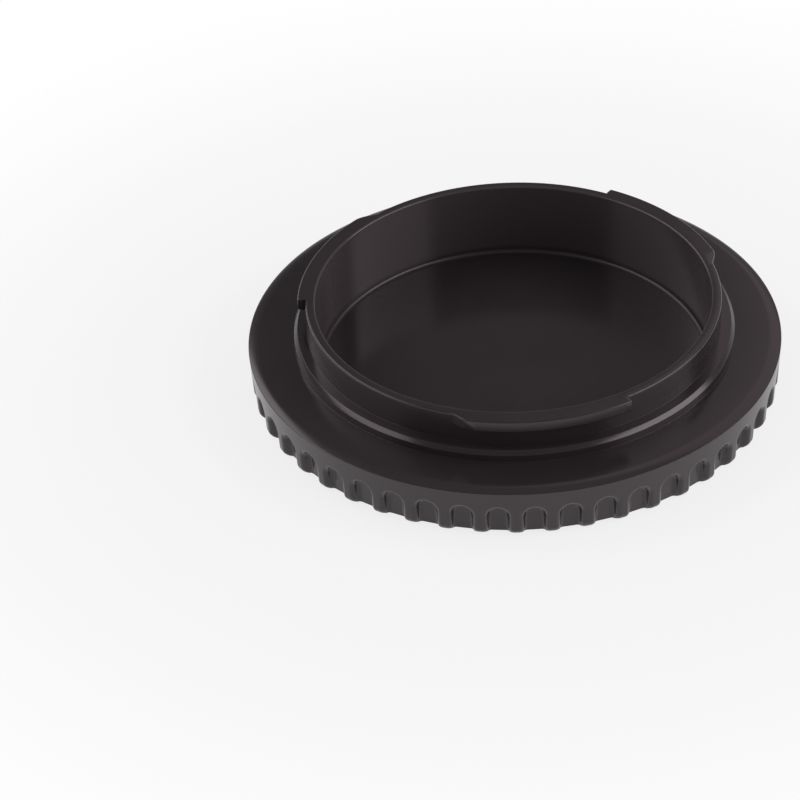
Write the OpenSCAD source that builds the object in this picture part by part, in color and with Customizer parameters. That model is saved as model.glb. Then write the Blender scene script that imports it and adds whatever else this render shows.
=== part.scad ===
// Camera body cap: the cover that closes the lens mount of a camera body.
// It is one moulding. It lies on its outer face, with the bayonet ring up.
// The origin is at the centre of the outer face, and +Z points into the camera.

/* [Lens mount] */
// Diameter of the throat of the lens mount that the cap closes
throat_d = 54; // [40:0.5:70]
// Gap between the collar and the throat all round
throat_gap = 0.15; // [0.05:0.05:0.4]

/* [Grip rim] */
// Width of the seat and its crowned band, from the collar to the edge of the rim
rim_w = 5.65; // [4.5:0.05:9]
// Height from the outer face to the sharp edge of the rim
rim_h = 6.3; // [6:0.1:9]
// How much smaller the radius is at the outer face than at the edge of the rim
rim_draft = 0.3; // [0.1:0.05:0.8]
// Radius of the rounded edge round the outer face
face_edge_r = 1.1; // [0.4:0.1:1.4]
// Rise of the crowned band from the sharp edge of the rim to the seat
crown_rise = 0.3; // [0.1:0.05:0.6]
// Width of the crowned band
crown_w = 1.5; // [0.8:0.1:2.5]

/* [Grip grooves] */
// Number of grooves round the rim
groove_count = 48; // [30:1:56]
// Direction of the middle of the first groove
groove_at = 0.6; // [0:0.1:7.5]
// Width of a groove between its two walls
groove_w = 2.4; // [1:0.1:2.6]
// Depth of a groove
groove_depth = 1; // [0.6:0.1:1.6]
// Height above the outer face at which the round end of a groove stops
groove_top = 4.5; // [3:0.1:5.2]
// Radius of the rounded lips of a groove
groove_lip_r = 0.6; // [0.1:0.05:0.7]

/* [Outer face] */
// Width of the border between the sunk panel and the edge of the rim
panel_border = 9.5; // [6:0.1:14]
// Depth of the sunk panel
panel_depth = 0.4; // [0.2:0.05:0.6]
// Width of the sloped step round the sunk panel
panel_slope = 0.5; // [0.2:0.1:1]

/* [Collar] */
// Height of the collar above the seat
collar_h = 1.4; // [1:0.1:2]
// Bevel on the upper edge of the collar
collar_bevel = 0.45; // [0.2:0.05:0.7]
// Radius in the corner between the collar and the seat
seat_corner_r = 0.15; // [0.1:0.05:0.6]

/* [Bayonet ring] */
// Width of the ledge on top of the collar, out to the collar's wall
ledge_w = 1.65; // [1.3:0.05:2.4]
// Thickness of the wall of the ring
ring_wall = 1.2; // [0.9:0.1:2]
// Height of the ring above the seat
ring_h = 5.2; // [4.5:0.1:7]
// Radius of the rounded edges of the ring
ring_edge_r = 0.25; // [0.1:0.05:0.4]
// Radius in the corner between the ring and the collar
ring_corner_r = 0.15; // [0.1:0.05:0.6]

/* [Bayonet lugs] */
// Number of lugs
lug_count = 3; // [2:1:4]
// How far a lug stands out of the ring
lug_reach = 1; // [0.6:0.1:1.2]
// Thickness of a lug along the axis
lug_t = 1.5; // [1:0.1:2]
// Angle that a lug covers at full width
lug_angle = 42; // [20:1:50]
// Angle of the sloped lead-in at one end of a lug
lead_in_angle = 8; // [4:1:14]
// Direction of the square end of the first lug
lug_end_at = 58; // [0:1:119]
// Bevel along the outer edges of a lug
lug_bevel = 0.2; // [0.1:0.05:0.4]

/* [Floor] */
// Thickness from the outer face to the floor of the cavity
floor_t = 1.9; // [1.4:0.1:3]
// Radius in the corner between the floor and the ring
floor_corner_r = 0.5; // [0.2:0.1:1.5]

/* [Hidden] */
$fn = 180;
cut = 1;
collar_r = throat_d / 2 - throat_gap;
rim_r = collar_r + rim_w;
rim_lean = atan(rim_draft / rim_h);
face_r = rim_r - rim_draft;
seat_z = rim_h + crown_rise;
crown_r = (crown_w * crown_w + crown_rise * crown_rise) / (2 * crown_rise);
panel_r = rim_r - panel_border;
collar_z = seat_z + collar_h;
ring_r = collar_r - ledge_w;
bore_r = ring_r - ring_wall;
ring_z = seat_z + ring_h;
lug_r = ring_r + lug_reach;
lug_z = ring_z - lug_t;
groove_pitch = 360 / groove_count;
face_edge_x = face_r + face_edge_r * (tan(rim_lean) - 1 / cos(rim_lean));
face_edge_z = face_edge_r * (1 - sin(rim_lean));

// Fills the inner corner at x, z with a radius; dx and dz point out of the corner
module corner_fill(x, z, r, dx, dz)
    translate([x, z])
        mirror([dx < 0 ? 1 : 0, 0])
            mirror([0, dz < 0 ? 1 : 0])
                difference() {
                    translate([-r, -r])
                        square(2 * r);
                    translate([r, r])
                        circle(r);
                }

// Takes a radius off the outer corner at x, z; dx and dz point into the material
module corner_cut(x, z, r, dx, dz)
    translate([x, z])
        mirror([dx < 0 ? 1 : 0, 0])
            mirror([0, dz < 0 ? 1 : 0])
                difference() {
                    translate([-cut, -cut])
                        square(r + cut);
                    translate([r, r])
                        circle(r);
                }

// What the rounded edge of the outer face takes off the section
module face_edge_cut()
    difference() {
        translate([face_edge_x, -cut])
            square([2 * face_edge_r, face_edge_z + cut]);
        translate([face_edge_x, face_edge_r])
            circle(face_edge_r);
    }

// What the crowned band at the edge of the rim takes off the section
module crown_cut()
    difference() {
        translate([rim_r - crown_w, seat_z - crown_r])
            square([crown_w + cut, crown_r + cut]);
        translate([rim_r - crown_w, seat_z - crown_r])
            circle(crown_r);
    }

// Section of the disc with its grip rim, without the grooves
module rim_section()
    difference() {
        polygon([[0, 0], [face_r, 0], [rim_r, rim_h], [rim_r, seat_z], [0, seat_z]]);
        face_edge_cut();
        crown_cut();
        polygon([[0, -cut], [panel_r, -cut], [panel_r, 0], [panel_r - panel_slope, panel_depth],
            [0, panel_depth]]);
    }

// Section of the collar, with its bevel
module collar_section()
    polygon([[0, seat_z - cut], [collar_r, seat_z - cut], [collar_r, collar_z - collar_bevel],
        [collar_r - collar_bevel, collar_z], [0, collar_z]]);

// Section of the ring above the collar, with its rounded edges
module ring_section()
    difference() {
        translate([0, seat_z - cut])
            square([ring_r, ring_h + cut]);
        corner_cut(ring_r, ring_z, ring_edge_r, -1, -1);
    }

// Section of the round cavity, down to the floor
module cavity_section()
    difference() {
        union() {
            translate([0, floor_t])
                square([bore_r, ring_z - floor_t + cut]);
            corner_cut(bore_r, ring_z, ring_edge_r, 1, -1);
        }
        corner_fill(bore_r, floor_t, floor_corner_r, -1, 1);
    }

// The whole turned body: rim, collar and ring round the cavity
module turned_body()
    rotate_extrude()
        difference() {
            union() {
                rim_section();
                collar_section();
                ring_section();
                corner_fill(collar_r, seat_z, seat_corner_r, 1, 1);
                corner_fill(ring_r, collar_z, ring_corner_r, 1, 1);
            }
            cavity_section();
        }

// Half of the cross-section of a groove, with its rounded lip; y runs outwards from the groove's floor
module half_groove()
    union() {
        square([groove_w / 2, groove_depth + cut]);
        difference() {
            translate([groove_w / 2 - groove_lip_r, groove_depth - groove_lip_r])
                square([2 * groove_lip_r, groove_lip_r + cut]);
            translate([groove_w / 2 + groove_lip_r, groove_depth - groove_lip_r])
                circle(groove_lip_r);
        }
    }

// One groove, open at the outer face and round at its other end
module groove() {
    end_z = groove_top - groove_w / 2;
    translate([rim_r - groove_depth, 0, rim_h])
        rotate([0, rim_lean, 0])
            translate([0, 0, end_z - rim_h]) {
                translate([0, 0, -end_z - cut])
                    linear_extrude(end_z + cut)
                        rotate(-90) {
                            half_groove();
                            mirror([1, 0])
                                half_groove();
                        }
                rotate([0, 90, 0])
                    rotate(90)
                        rotate_extrude(angle = 180)
                            half_groove();
            }
}

// A lug seen along the axis: square at one end, with a sloped lead-in at the other
module lug_outline(r) {
    far = 2 * r;
    start = lug_end_at - lug_angle;
    lead = start - lead_in_angle;
    intersection() {
        difference() {
            circle(r);
            circle(ring_r - ring_wall / 2);
        }
        polygon([[0, 0], (ring_r - ring_edge_r) * [cos(lead), sin(lead)], r * [cos(start), sin(start)],
            far * [cos(start), sin(start)],
            far * [cos(start + lug_angle / 2), sin(start + lug_angle / 2)],
            far * [cos(lug_end_at), sin(lug_end_at)]]);
    }
}

// One lug, with a bevel along its upper and lower outer edge
module lug()
    intersection() {
        translate([0, 0, lug_z])
            linear_extrude(lug_t)
                lug_outline(lug_r);
        rotate_extrude()
            polygon([[0, lug_z], [lug_r - lug_bevel, lug_z], [lug_r, lug_z + lug_bevel],
                [lug_r, ring_z - lug_bevel], [lug_r - lug_bevel, ring_z], [0, ring_z]]);
    }

module body_cap()
    color([0.10, 0.10, 0.10]) {
        difference() {
            turned_body();
            for (i = [0 : groove_count - 1])
                rotate(groove_at + i * groove_pitch)
                    groove();
        }
        for (i = [0 : lug_count - 1])
            rotate(i * 360 / lug_count)
                lug();
    }

body_cap();
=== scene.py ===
import math

import bmesh
import bpy
from mathutils import Matrix, Vector


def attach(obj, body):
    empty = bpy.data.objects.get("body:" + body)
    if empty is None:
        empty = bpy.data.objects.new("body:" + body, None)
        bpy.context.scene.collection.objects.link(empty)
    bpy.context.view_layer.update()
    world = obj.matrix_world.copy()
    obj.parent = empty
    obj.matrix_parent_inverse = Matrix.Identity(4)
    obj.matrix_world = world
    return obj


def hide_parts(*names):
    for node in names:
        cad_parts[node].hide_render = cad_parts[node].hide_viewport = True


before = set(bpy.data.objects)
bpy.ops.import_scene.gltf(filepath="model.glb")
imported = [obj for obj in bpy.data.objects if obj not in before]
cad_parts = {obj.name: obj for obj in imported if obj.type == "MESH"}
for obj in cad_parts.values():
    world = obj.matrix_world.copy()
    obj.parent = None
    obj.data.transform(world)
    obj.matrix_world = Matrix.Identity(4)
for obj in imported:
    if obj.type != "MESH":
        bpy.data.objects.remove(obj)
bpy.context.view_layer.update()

MM = 0.001

# Sizes of the cap in millimetres: radii, and heights above its outer face
RIM_R = 32.5
RIM_H = 6.3
RIM_DRAFT = 0.3
WALL_RINGS = ((0.62, 0.38), (0.3, 0.7))    # rings on the rim, as shares of draft and height
FACE_EDGE_R = 1.1
CROWN_RISE = 0.3
CROWN_W = 1.5
EDGE_R = 0.1
GROOVES = 48
GROOVE_AT = 0.6
GROOVE_W = 2.4
GROOVE_DEPTH = 1.0
GROOVE_TOP = 3.95
GROOVE_DRAFT = 0.13      # lean of a groove's wall: outwards at its lip, inwards at its floor
GROOVE_LIP_R = 0.65
GROOVE_FLOOR_R = 0.6
GROOVE_OPEN = 0.5        # how far a groove's space reaches out past the rim
GROOVE_BELOW = 1         # how far it reaches down past the outer face
FOOT_R = 0.15            # rounding of the ribs where they meet the face
SILL_R = 0.15            # rounding of the grooves' floors where they meet the face
PANEL_DISC_R = 19.5      # flat disc from which the turned body is drawn out
PANEL_R = 23.0
PANEL_DEPTH = 0.4
PANEL_SLOPE = 0.5
PANEL_EDGE_R = 0.12
COLLAR_R = 26.85
COLLAR_H = 1.4
COLLAR_BEVEL = 0.45
COLLAR_EDGE_R = 0.08
SEAT_CORNER_R = 0.04
RING_R = 25.2
RING_H = 5.2
RING_WALL = 1.2
RING_EDGE_R = 0.25
RING_CORNER_R = 0.04
LUGS = 3
LUG_R = 26.2
LUG_T = 1.5
LUG_ANGLE = 42
LEAD_IN_ANGLE = 8
LEAD_IN_TIP = 0.22       # reach of the lug at the tip of its lead-in, as a share
LUG_END_AT = 58
LUG_BEVEL = 0.2
LUG_END_BEVEL = LUG_BEVEL * 0.6
LUG_PROUD = 0.002        # a hair above the ring, as a union of two flush tops leaves slits
FLOOR_T = 1.9
FLOOR_CORNER_R = 0.5
FLOOR_RINGS = (18, 10)

SEAT_Z = RIM_H + CROWN_RISE
COLLAR_Z = SEAT_Z + COLLAR_H
RING_Z = SEAT_Z + RING_H
BORE_R = RING_R - RING_WALL
LUG_Z = RING_Z - LUG_T
RIM_LEAN = math.atan(RIM_DRAFT / RIM_H)

# How finely the curves are divided
SIDES = 384              # facets round the turned body, eight to each groove with its rib
FACETS_AT = 0.31         # degrees to the first facet's edge, off every step of a lug or groove
SHARP_FROM = 32          # degrees between two faces from which their edge stays sharp
EDGE_STEPS = 4           # on small edges
CORNER_STEPS = 6         # in the inner corners at the seat and the ring's foot
ROUND_STEPS = 8          # on the ring's edges, the crown and the floors
FACE_EDGE_STEPS = 10
LIP_STEPS = 12
FOOT_STEPS = 8
GROOVE_END_STEPS = 16
LEAD_IN_STEPS = 10
LUG_END_STEPS = 3

# Colours and gloss of the plastic
PLASTIC_DARK = (0.0300, 0.0250, 0.0262, 1)
PLASTIC_PALE = (0.0335, 0.0282, 0.0297, 1)
# painted light: a paler tint for the bore's wall, standing in for the light bounced into the bore
BORE_WALL_PAINTED_LIGHT = (0.0850, 0.0710, 0.0750, 1)
SHINE = (1.0, 0.92, 0.97, 1)
REFRACTION = 1.55
ROUGH = 0.20
SMOOTHER_INSIDE = 0.03
ROUGHER_UNDER = 0.14
ROUGHER_RIM = 0.02
ROUGHER_CORNER = 0.22
ROUGH_CLOUDS = 0.06
ROUGH_PATCHES = 0.04
CLOUD_SCALE = 90
PATCH_SCALE = 320
GRAIN_SCALE = 5200
GRAIN_ALL_OVER = 0.05
GRAIN_ON_RIM = 0.95
GRAIN_PATCHES = 0.12
GRAIN_STRENGTH = 0.07
GRAIN_HEIGHT = 0.00003   # metres

# Table and surroundings
TABLE_SIZE = 3           # metres
TABLE_COLOUR = (0.93, 0.93, 0.93, 1)
TABLE_SHADE = 0.2        # share of the real shading that shows close to the cap
SHADE_FROM = 0.045       # metres from the cap's axis, where that share begins to fade
SHADE_TO = 0.11
WHITE = (1, 1, 1, 1)
HORIZON = (0.68, 0.67, 0.68, 1)
HORIZON_TOP = 0.32       # heights as the sine of the angle above the table
UPPER = (0.14, 0.135, 0.137, 1)
OVERHEAD = (0.25, 0.24, 0.245, 1)
OVERHEAD_FROM = 0.7

# Lamps: azimuth and height in degrees, distance, width and tallness in metres, radiance, colour
LAMPS = {
    "softbox_right": (-13, 33, 1.2, 1.10, 0.60, 3.2, (1, 0.96, 0.98)),
    "softbox_left": (160, 40, 1.2, 1.75, 0.60, 1.9, (1, 0.95, 0.97)),
    "panel_back_right": (58, 40, 1.6, 1.06, 1.0, 0.42, (1, 0.86, 0.90)),
}

# The camera, as solved from the circles of the cap
PICTURE_WIDTH = 800      # pixels
FOCAL_LENGTH = 2887      # pixels
SENSOR_WIDTH = 36        # millimetres
CLIP_START = 0.01        # metres
CAMERA_AT = (-14.34, -288.91, 209.56)
CAMERA_DOWN = 36.40      # degrees below the horizontal
CAMERA_ROLL = 2.99


# ---- modelling helpers

def deselect():
    """Nothing selected, so an operator acts on the new piece alone."""
    bpy.ops.object.select_all(action="DESELECT")


def active():
    return bpy.context.view_layer.objects.active


def edit():
    """Into edit mode, in vertex selection."""
    bpy.ops.object.mode_set(mode="EDIT")
    bpy.context.tool_settings.mesh_select_mode = (True, False, False)


def choose(test):
    """Selects the vertices whose place passes the test, and what they bound."""
    mesh = bmesh.from_edit_mesh(active().data)
    bpy.ops.mesh.select_all(action="DESELECT")
    for v in mesh.verts:
        v.select = test(v.co / MM)
    mesh.select_flush_mode()
    bmesh.update_edit_mesh(active().data)


def arc(cx, cz, r, start, end, steps):
    """Points on an arc of the section, angles in degrees from the radius direction."""
    return [(cx + r * math.cos(math.radians(start + (end - start) * i / steps)),
             cz + r * math.sin(math.radians(start + (end - start) * i / steps)))
            for i in range(steps + 1)]


def fillet(before, corner, after, r, steps):
    """Points of a radius r that rounds the corner between two straight lines of a section."""
    a, c, b = Vector(before), Vector(corner), Vector(after)
    u, v = (a - c).normalized(), (b - c).normalized()
    half = u.angle(v) / 2
    run = r / math.tan(half)
    centre = c + (u + v).normalized() * (r / math.sin(half))
    p, q = c + u * run - centre, c + v * run - centre
    turn = p.angle(q)
    side = 1 if p.x * q.y - p.y * q.x > 0 else -1
    points = []
    for i in range(steps + 1):
        t = side * turn * i / steps
        points.append((centre.x + p.x * math.cos(t) - p.y * math.sin(t),
                       centre.y + p.x * math.sin(t) + p.y * math.cos(t)))
    return points


def modifier(kind, **settings):
    """Adds a modifier to the active piece and applies it."""
    made = active().modifiers.new(kind.title(), kind)
    for name, value in settings.items():
        setattr(made, name, value)
    bpy.ops.object.modifier_apply(modifier=made.name)


def outline_piece(name, points):
    """A new piece in edit mode: in place of its primitive, one row of points joined by edges."""
    deselect()
    bpy.ops.mesh.primitive_circle_add(vertices=3, radius=1 * MM)
    piece = active()
    piece.name = name
    edit()
    bpy.ops.mesh.delete(type="VERT")
    mesh = bmesh.from_edit_mesh(piece.data)
    row = [mesh.verts.new(Vector(p) * MM) for p in points]
    for pair in zip(row, row[1:]):
        mesh.edges.new(pair)
    bmesh.update_edit_mesh(piece.data)
    bpy.ops.mesh.select_all(action="SELECT")
    return piece


def turn_about_axis(degrees, everything=False):
    """Turns what is selected, or the whole piece, anticlockwise about the cap's axis."""
    mesh = bmesh.from_edit_mesh(active().data)
    kept = [v for v in mesh.verts if v.select]
    if everything:
        bpy.ops.mesh.select_all(action="SELECT")
    bpy.ops.transform.rotate(value=-math.radians(degrees), orient_axis="Z",
                             center_override=(0, 0, 0))
    if everything:
        bpy.ops.mesh.select_all(action="DESELECT")
        for v in kept:
            v.select = True
        mesh.select_flush_mode()


def all_round(first, count, start):
    """The piece and its copies, each with its own mesh, equally spaced about the cap's axis."""
    pieces = [first]
    for _ in range(1, count):
        one = first.copy()
        one.data = first.data.copy()
        bpy.context.collection.objects.link(one)
        pieces.append(one)
    for i, one in enumerate(pieces):
        one.data.transform(Matrix.Rotation(math.radians(start + i * 360 / count), 4, "Z"))
    return pieces


def take(body, tool, operation):
    """Joins the tool to the body, or takes it away."""
    deselect()
    bpy.context.view_layer.objects.active = body
    modifier("BOOLEAN", object=tool, operation=operation, solver="EXACT")
    bpy.data.objects.remove(tool)


def ease(t):
    """A soft start and end between 0 and 1."""
    return t * t * (3 - 2 * t)


def outward():
    """Merges doubles and turns every face outwards."""
    bpy.ops.mesh.select_all(action="SELECT")
    bpy.ops.mesh.remove_doubles(threshold=0.0001 * MM)
    bpy.ops.mesh.normals_make_consistent(inside=False)


# ---- the turned body

def section():
    """The body's section from the middle of the outer face round to the middle of the floor."""
    face_r = RIM_R - RIM_DRAFT
    crown_r = (CROWN_W ** 2 + CROWN_RISE ** 2) / (2 * CROWN_RISE)
    crown_x = RIM_R - CROWN_W
    crown_z = SEAT_Z - crown_r
    crown_end = math.degrees(math.atan2(RIM_H - crown_z, CROWN_W))
    crown = arc(crown_x, crown_z, crown_r, crown_end, 90, ROUND_STEPS)

    panel = [(PANEL_R - PANEL_SLOPE, PANEL_DEPTH), (PANEL_R, 0)]
    face_edge, rim_edge = (face_r, 0), (RIM_R, RIM_H)
    seat_corner = (COLLAR_R, SEAT_Z)
    bevel = [(COLLAR_R, COLLAR_Z - COLLAR_BEVEL), (COLLAR_R - COLLAR_BEVEL, COLLAR_Z)]
    ring_foot, ring_edge = (RING_R, COLLAR_Z), (RING_R, RING_Z)
    bore_edge, floor_corner = (BORE_R, RING_Z), (BORE_R, FLOOR_T)

    points = [(PANEL_DISC_R, PANEL_DEPTH)]
    points += fillet(points[0], panel[0], panel[1], PANEL_EDGE_R, EDGE_STEPS)
    points += fillet(panel[0], panel[1], face_edge, PANEL_EDGE_R, EDGE_STEPS)
    points += fillet(panel[1], face_edge, rim_edge, FACE_EDGE_R, FACE_EDGE_STEPS)
    points += [(RIM_R - RIM_DRAFT * draft, RIM_H * height) for draft, height in WALL_RINGS]
    points += fillet(face_edge, rim_edge, crown[1], EDGE_R, EDGE_STEPS)
    points += crown[1:]
    points += fillet((crown_x, SEAT_Z), seat_corner, (COLLAR_R, COLLAR_Z), SEAT_CORNER_R,
                     CORNER_STEPS)
    points += fillet(seat_corner, bevel[0], bevel[1], COLLAR_EDGE_R, EDGE_STEPS)
    points += fillet(bevel[0], bevel[1], ring_foot, COLLAR_EDGE_R, EDGE_STEPS)
    points += fillet((COLLAR_R, COLLAR_Z), ring_foot, ring_edge, RING_CORNER_R, CORNER_STEPS)
    points += fillet(ring_foot, ring_edge, bore_edge, RING_EDGE_R, ROUND_STEPS)
    points += fillet(ring_edge, bore_edge, floor_corner, RING_EDGE_R, ROUND_STEPS)
    points += fillet(bore_edge, floor_corner, (0, FLOOR_T), FLOOR_CORNER_R, ROUND_STEPS)
    points += [(r, FLOOR_T) for r in FLOOR_RINGS]
    return points


def turned_body():
    """A disc for the sunk panel's middle, drawn out ring by ring to the middle of the floor."""
    points = section()
    deselect()
    bpy.ops.mesh.primitive_circle_add(vertices=SIDES, radius=points[0][0] * MM,
                                      fill_type="TRIFAN", location=(0, 0, points[0][1] * MM))
    bpy.ops.object.transform_apply(location=True, rotation=True, scale=True)
    body = active()
    body.name = "cap_moulding"
    edit()
    r0, z0 = points[0]
    choose(lambda p: p.xy.length > r0 - 0.01)
    for r, z in points[1:]:
        if math.hypot(r - r0, z - z0) < 0.002:       # where two arcs meet in one point
            continue
        bpy.ops.mesh.extrude_edges_move(TRANSFORM_OT_translate={"value": (0, 0, (z - z0) * MM)})
        bpy.ops.transform.resize(value=(r / r0, r / r0, 1), center_override=(0, 0, 0))
        r0, z0 = r, z
    bpy.ops.mesh.extrude_edges_move(TRANSFORM_OT_translate={"value": (0, 0, 0)})
    bpy.ops.mesh.merge(type="CENTER")
    choose(lambda p: True)
    turn_about_axis(FACETS_AT)
    outward()
    bpy.ops.object.mode_set(mode="OBJECT")
    return body


# ---- the bayonet lugs

def lug():
    """A lug's section, grown step by step through its lead-in, then turned through its length."""
    inner = RING_R - RING_WALL / 2
    top = RING_Z + LUG_PROUD
    corners = [(inner, LUG_Z), (LUG_R, LUG_Z), (LUG_R, top), (inner, top)]
    outline = [corners[0]]
    outline += fillet(corners[0], corners[1], corners[2], LUG_BEVEL, EDGE_STEPS)
    outline += fillet(corners[1], corners[2], corners[3], LUG_BEVEL, EDGE_STEPS)
    outline += [corners[3]]
    piece = outline_piece("lug", [(r, 0, z) for r, z in outline])
    bpy.ops.mesh.edge_face_add()

    reach = [LEAD_IN_TIP + (1 - LEAD_IN_TIP) * ease(i / LEAD_IN_STEPS)
             for i in range(LEAD_IN_STEPS + 1)]
    at = (inner * MM, 0, 0)
    bpy.ops.transform.resize(value=(reach[0], 1, 1), center_override=at)
    for before, after in zip(reach, reach[1:]):
        turn_about_axis(-LEAD_IN_ANGLE / LEAD_IN_STEPS, everything=True)
        bpy.ops.mesh.extrude_region_move(TRANSFORM_OT_translate={"value": (0, 0, 0)})
        turn_about_axis(LEAD_IN_ANGLE / LEAD_IN_STEPS)
        bpy.ops.transform.resize(value=(after / before, 1, 1), center_override=at)

    bpy.ops.mesh.spin(steps=LUG_ANGLE, angle=-math.radians(LUG_ANGLE),
                      center=(0, 0, 0), axis=(0, 0, 1))
    turn_about_axis(-LUG_ANGLE, everything=True)
    choose(lambda p: abs(p.y) < 0.001 and p.x > inner + 0.01)     # the outline of the square end
    bpy.ops.mesh.bevel(offset=LUG_END_BEVEL * MM, segments=LUG_END_STEPS, affect="EDGES")
    choose(lambda p: True)
    turn_about_axis(LUG_END_AT)
    outward()
    bpy.ops.object.mode_set(mode="OBJECT")
    return piece


def join_lugs(body):
    """The lugs, equally spaced, joined to the ring."""
    for one in all_round(lug(), LUGS, 0):
        take(body, one, "UNION")


# ---- the grip grooves

def groove_outline():
    """Half a groove's section: half its floor, its wall, its lip, and back outside the rim."""
    half = GROOVE_W / 2
    foot, lip = (half - GROOVE_DRAFT, 0), (half + GROOVE_DRAFT, GROOVE_DEPTH)
    past_lip = (3 * half, GROOVE_DEPTH)
    points = [(0, 0)]
    points += fillet((0, 0), foot, lip, GROOVE_FLOOR_R, ROUND_STEPS)
    points += fillet(foot, lip, past_lip, GROOVE_LIP_R, LIP_STEPS)[:-1]
    points += [(points[-1][0], GROOVE_DEPTH + GROOVE_OPEN), (0, GROOVE_DEPTH + GROOVE_OPEN)]
    return points


def round_off(r, above):
    """How far an edge rounded to r stands back, at a height above its face."""
    return r - math.sqrt(max(0, r * r - max(0, r - above) ** 2))


def groove_space():
    """One groove's space: half its section turned half round, then drawn down past the face."""
    end_z = GROOVE_TOP - GROOVE_W / 2
    space = outline_piece("groove_space", [(y, x, 0) for x, y in groove_outline()])
    bpy.ops.mesh.spin(steps=GROOVE_END_STEPS, angle=-math.pi, center=(0, 0, 0), axis=(1, 0, 0))
    bpy.ops.mesh.select_all(action="SELECT")
    bpy.ops.mesh.remove_doubles(threshold=0.0005 * MM)
    choose(lambda p: abs(p.z) < 0.0005)

    # Down to the face's rounded edge, then by steps along it: the groove grows wider at the ribs'
    # feet, its floor stands back at the sill, and its outermost points keep their distance
    drop = [end_z - FACE_EDGE_R]
    drop += [FACE_EDGE_R / FOOT_STEPS] * FOOT_STEPS
    outermost = ((GROOVE_DEPTH + GROOVE_OPEN) * MM, 0, 0)
    wide, shift, deep, at_z = 1.0, 0.0, 1.0, 0.0
    for i, fall in enumerate(drop):
        bpy.ops.mesh.extrude_edges_move(TRANSFORM_OT_translate={"value": (0, 0, -fall * MM)})
        above = FACE_EDGE_R * (1 - i / FOOT_STEPS)
        face_in = round_off(FACE_EDGE_R, above)
        foot_in = round_off(FOOT_R, above)
        sill_in = round_off(SILL_R, above)
        new_wide = 1 + foot_in / (GROOVE_W / 2 + GROOVE_LIP_R)
        new_deep = (GROOVE_DEPTH - face_in + sill_in) / GROOVE_DEPTH
        at = (-shift * MM, 0, 0)
        bpy.ops.transform.resize(value=(new_deep / deep, new_wide / wide, 1), center_override=at)
        bpy.ops.transform.translate(value=((shift - sill_in) * MM, 0, 0))
        wide, shift, deep, at_z = new_wide, sill_in, new_deep, at_z - fall
        lip_x = GROOVE_DEPTH * deep - shift + 0.01
        choose(lambda p: abs(p.z - at_z) < 0.001 and p.x > lip_x)
        bpy.ops.transform.resize(value=(0, 1, 1), center_override=outermost)
        choose(lambda p: abs(p.z - at_z) < 0.001)
    bpy.ops.mesh.extrude_edges_move(
        TRANSFORM_OT_translate={"value": (0, 0, -GROOVE_BELOW * MM)})
    bpy.ops.mesh.edge_face_add()
    outward()

    bpy.ops.mesh.select_all(action="SELECT")
    bpy.ops.transform.translate(value=(0, 0, (end_z - RIM_H) * MM))
    bpy.ops.transform.rotate(value=-RIM_LEAN, orient_axis="Y", center_override=(0, 0, 0))
    bpy.ops.transform.translate(value=((RIM_R - GROOVE_DEPTH) * MM, 0, RIM_H * MM))
    bpy.ops.object.mode_set(mode="OBJECT")
    for v in space.data.vertices:          # bent to the curve of the rim
        v.co.x -= RIM_R * MM - math.sqrt((RIM_R * MM) ** 2 - v.co.y ** 2)
    return space


def cut_grooves(body):
    """One groove's space is copied all round the rim and taken out of the body."""
    spaces = all_round(groove_space(), GROOVES, GROOVE_AT)
    deselect()
    for one in spaces:
        one.select_set(True)
    bpy.context.view_layer.objects.active = spaces[0]
    bpy.ops.object.join()
    take(body, spaces[0], "DIFFERENCE")


body = turned_body()
join_lugs(body)
cut_grooves(body)
deselect()
body.select_set(True)
bpy.context.view_layer.objects.active = body
edit()
outward()
bpy.ops.object.mode_set(mode="OBJECT")
bpy.ops.object.shade_smooth_by_angle(angle=math.radians(SHARP_FROM))
modifier("WEIGHTED_NORMAL", keep_sharp=True)
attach(body, "root")
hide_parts("body_cap")


# ---- materials

class Node:
    """One socket of a node tree, so that shader maths is written as Python expressions."""

    def __init__(self, tree, socket):
        self.tree = tree
        self.socket = socket

    def make(self, kind, settings=None, inputs=None, out=0):
        """A node of any type: its settings first, then the values or links of its sockets."""
        node = self.tree.nodes.new(kind)
        for name, value in (settings or {}).items():
            setattr(node, name, value)
        for name, value in (inputs or {}).items():
            if isinstance(value, Node):
                self.tree.links.new(value.socket, node.inputs[name])
            else:
                node.inputs[name].default_value = value
        return Node(self.tree, node.outputs[out])

    def outlet(self, name):
        """Another output of the node that this socket belongs to."""
        return Node(self.tree, self.socket.node.outputs[name])

    def maths(self, operation, first, second):
        return self.make("ShaderNodeMath", {"operation": operation}, {0: first, 1: second})

    def __add__(self, other):
        return self.maths("ADD", self, other)

    __radd__ = __add__

    def __mul__(self, other):
        return self.maths("MULTIPLY", self, other)

    __rmul__ = __mul__

    def __sub__(self, other):
        return self.maths("SUBTRACT", self, other)

    def __rsub__(self, other):
        return self.maths("SUBTRACT", other, self)

    def __truediv__(self, other):
        return self.maths("DIVIDE", self, other)

    def __pow__(self, other):
        return self.maths("POWER", self, other)

    def band(self, low, high):
        """0 below low, 1 above high, and a soft step between them."""
        values = {"Value": self, "From Min": low, "From Max": high}
        return self.make("ShaderNodeMapRange", {"interpolation_type": "SMOOTHSTEP"}, values)

    def noise(self, scale, detail):
        values = {"Scale": scale, "Detail": detail, "Vector": self}
        return self.make("ShaderNodeTexNoise", inputs=values)

    def mix(self, first, second):
        """Two colours, which are sockets 6 and 7, mixed by this value."""
        settings = {"data_type": "RGBA", "clamp_factor": True}
        return self.make("ShaderNodeMix", settings, {0: self, 6: first, 7: second}, out=2)


def material(name):
    """An empty material, its tree as a Node to build from, and its output."""
    made = bpy.data.materials.new(name)
    made.use_nodes = True
    tree = made.node_tree
    tree.nodes.clear()
    out = tree.nodes.new("ShaderNodeOutputMaterial")
    return made, Node(tree, None), out


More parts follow.
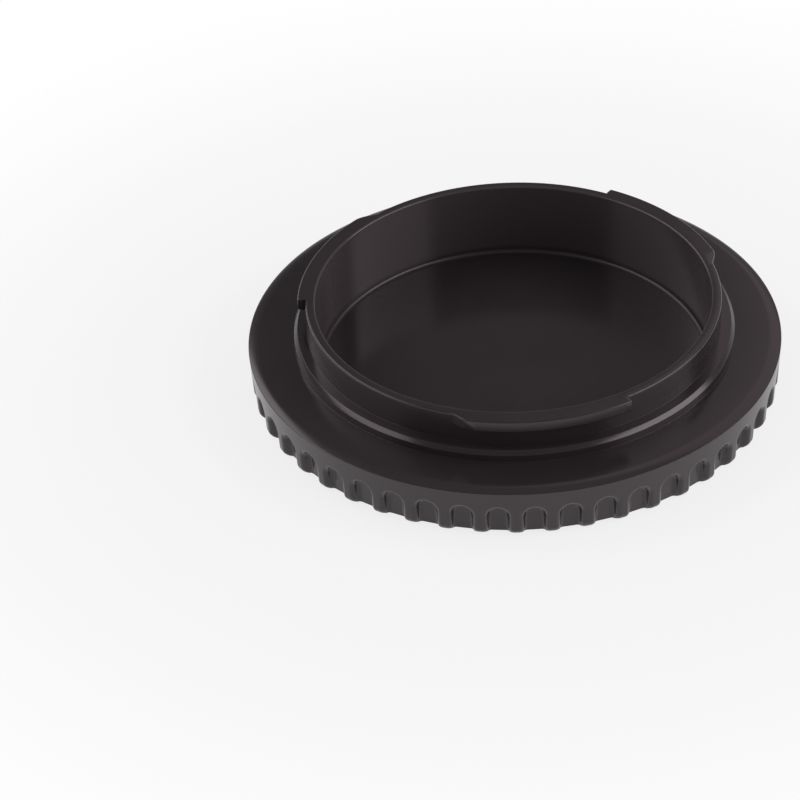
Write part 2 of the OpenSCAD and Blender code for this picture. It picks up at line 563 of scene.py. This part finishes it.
def moulded_plastic():
    """Black semi-gloss plastic, glossier in the bore, grained on rim and face; painted light on
    the bore's wall.
    """
    made, base, out = material("black_moulded_plastic")
    place = base.make("ShaderNodeTexCoord", out="Object")
    axes = base.make("ShaderNodeSeparateXYZ", inputs={"Vector": place})
    x, y, z = (axes.outlet(n) for n in "XYZ")
    radius = (x * x + y * y) ** 0.5 / MM
    height = z / MM

    # Where: inside the bore, near the outer face, on the rim's wall, on the bore's wall, which is
    # given painted light, and in the corner round the floor
    inside = 1 - radius.band(BORE_R - 0.2, BORE_R + 0.4)
    under = 1 - height.band(0.1, 1.2)
    rim = radius.band(RIM_R - 1.6, RIM_R - 1.0) * (1 - height.band(RIM_H - 0.6, RIM_H - 0.1))
    wall = inside * height.band(FLOOR_T + 0.2, FLOOR_T + 1.2)
    low = 1 - height.band(FLOOR_T + 0.4, FLOOR_T + 0.7)
    corner = radius.band(BORE_R - 0.7, BORE_R - 0.4) * inside * low

    cloudy = place.noise(CLOUD_SCALE, 3)
    patchy = place.noise(PATCH_SCALE, 2)
    fine = place.noise(GRAIN_SCALE, 2)
    tint = cloudy.band(0.3, 0.7).mix(PLASTIC_DARK, PLASTIC_PALE)
    # painted light: the bore's wall is tinted paler for the light bounced onto it from the rest
    # of the cap
    tint = wall.mix(tint, BORE_WALL_PAINTED_LIGHT)
    roughness = ROUGH - SMOOTHER_INSIDE * inside + ROUGHER_UNDER * under
    roughness = roughness + ROUGHER_RIM * rim + ROUGHER_CORNER * corner
    roughness = roughness + ROUGH_CLOUDS * (cloudy - 0.5) + ROUGH_PATCHES * (patchy - 0.5)
    grain = fine * (GRAIN_ALL_OVER + GRAIN_ON_RIM * (under + rim)) + GRAIN_PATCHES * patchy
    bump = base.make("ShaderNodeBump", inputs={"Strength": GRAIN_STRENGTH,
                                               "Distance": GRAIN_HEIGHT, "Height": grain})
    shader = base.make("ShaderNodeBsdfPrincipled",
                       inputs={"Base Color": tint, "Roughness": roughness, "IOR": REFRACTION,
                               "Specular Tint": SHINE, "Normal": bump})
    base.tree.links.new(shader.socket, out.inputs["Surface"])
    return made


def pale_table():
    """White to the camera and to reflections, but for a share of its shading near the cap."""
    made, base, out = material("pale_table")
    rays = base.make("ShaderNodeLightPath")
    shown = rays.outlet("Is Camera Ray")
    for kind in ("Is Glossy Ray", "Is Transmission Ray"):
        shown = shown.maths("MAXIMUM", shown, rays.outlet(kind))
    spot = base.make("ShaderNodeTexCoord", out="Object")
    away = base.make("ShaderNodeVectorMath", {"operation": "LENGTH"}, {0: spot}, out=1)
    white_share = (1 - TABLE_SHADE) + TABLE_SHADE * away.band(SHADE_FROM, SHADE_TO)
    matt = base.make("ShaderNodeBsdfDiffuse", inputs={"Color": TABLE_COLOUR})
    glow = base.make("ShaderNodeEmission", inputs={"Color": WHITE, "Strength": 1.0})
    table = base.make("ShaderNodeMixShader", inputs={0: shown * white_share, 1: matt, 2: glow})
    base.tree.links.new(table.socket, out.inputs["Surface"])
    return made


plastic = moulded_plastic()
body.data.materials.clear()
body.data.materials.append(plastic)
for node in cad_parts.values():
    for holder in node.material_slots:
        holder.material = plastic


# ---- floor, camera and lights

deselect()
bpy.ops.mesh.primitive_plane_add(size=TABLE_SIZE)
floor = active()
floor.name = "table_top"
floor.data.materials.append(pale_table())

cam_data = bpy.data.cameras.new("camera")
cam = bpy.data.objects.new("camera", cam_data)
bpy.context.scene.collection.objects.link(cam)
bpy.context.scene.camera = cam
cam_data.sensor_width = SENSOR_WIDTH
cam_data.lens = FOCAL_LENGTH / PICTURE_WIDTH * SENSOR_WIDTH
cam_data.clip_start = CLIP_START
elevation = math.radians(CAMERA_DOWN)
roll = math.radians(CAMERA_ROLL)
right = Vector((1, 0, 0))
up = Vector((0, math.sin(elevation), math.cos(elevation)))
back = Vector((0, -math.cos(elevation), math.sin(elevation)))
rolled_right = right * math.cos(roll) - up * math.sin(roll)
rolled_up = right * math.sin(roll) + up * math.cos(roll)
turn = Matrix((rolled_right, rolled_up, back)).transposed()
cam.matrix_world = Matrix.Translation(Vector(CAMERA_AT) * MM) @ turn.to_4x4()


def lamp(name, azimuth, height, distance, width, tall, radiance, colour):
    """A rectangular softbox that faces the cap; its azimuth runs from +X towards +Y."""
    data = bpy.data.lights.new(name, "AREA")
    data.shape = "RECTANGLE"
    data.size = width
    data.size_y = tall
    data.energy = radiance * math.pi * width * tall
    data.color = colour
    made = bpy.data.objects.new(name, data)
    bpy.context.scene.collection.objects.link(made)
    a, e = math.radians(azimuth), math.radians(height)
    away = Vector((math.cos(a) * math.cos(e), math.sin(a) * math.cos(e), math.sin(e)))
    made.location = away * distance
    made.rotation_euler = away.to_track_quat("Z", "Y").to_euler()


for name, values in LAMPS.items():
    lamp(name, *values)

world = bpy.data.worlds.new("studio")
bpy.context.scene.world = world
world.use_nodes = True
tree = world.node_tree
tree.nodes.clear()
base = Node(tree, None)
way = base.make("ShaderNodeTexCoord", out="Generated")
rise = base.make("ShaderNodeSeparateXYZ", inputs={"Vector": way}, out="Z")
sky = rise.band(0.0, HORIZON_TOP).mix(HORIZON, UPPER)
sky = rise.band(OVERHEAD_FROM, 1.0).mix(sky, OVERHEAD)
glow = base.make("ShaderNodeBackground", inputs={"Color": sky, "Strength": 1.0})
out = tree.nodes.new("ShaderNodeOutputWorld")
tree.links.new(glow.socket, out.inputs["Surface"])
bpy.context.scene.view_settings.view_transform = "Standard"
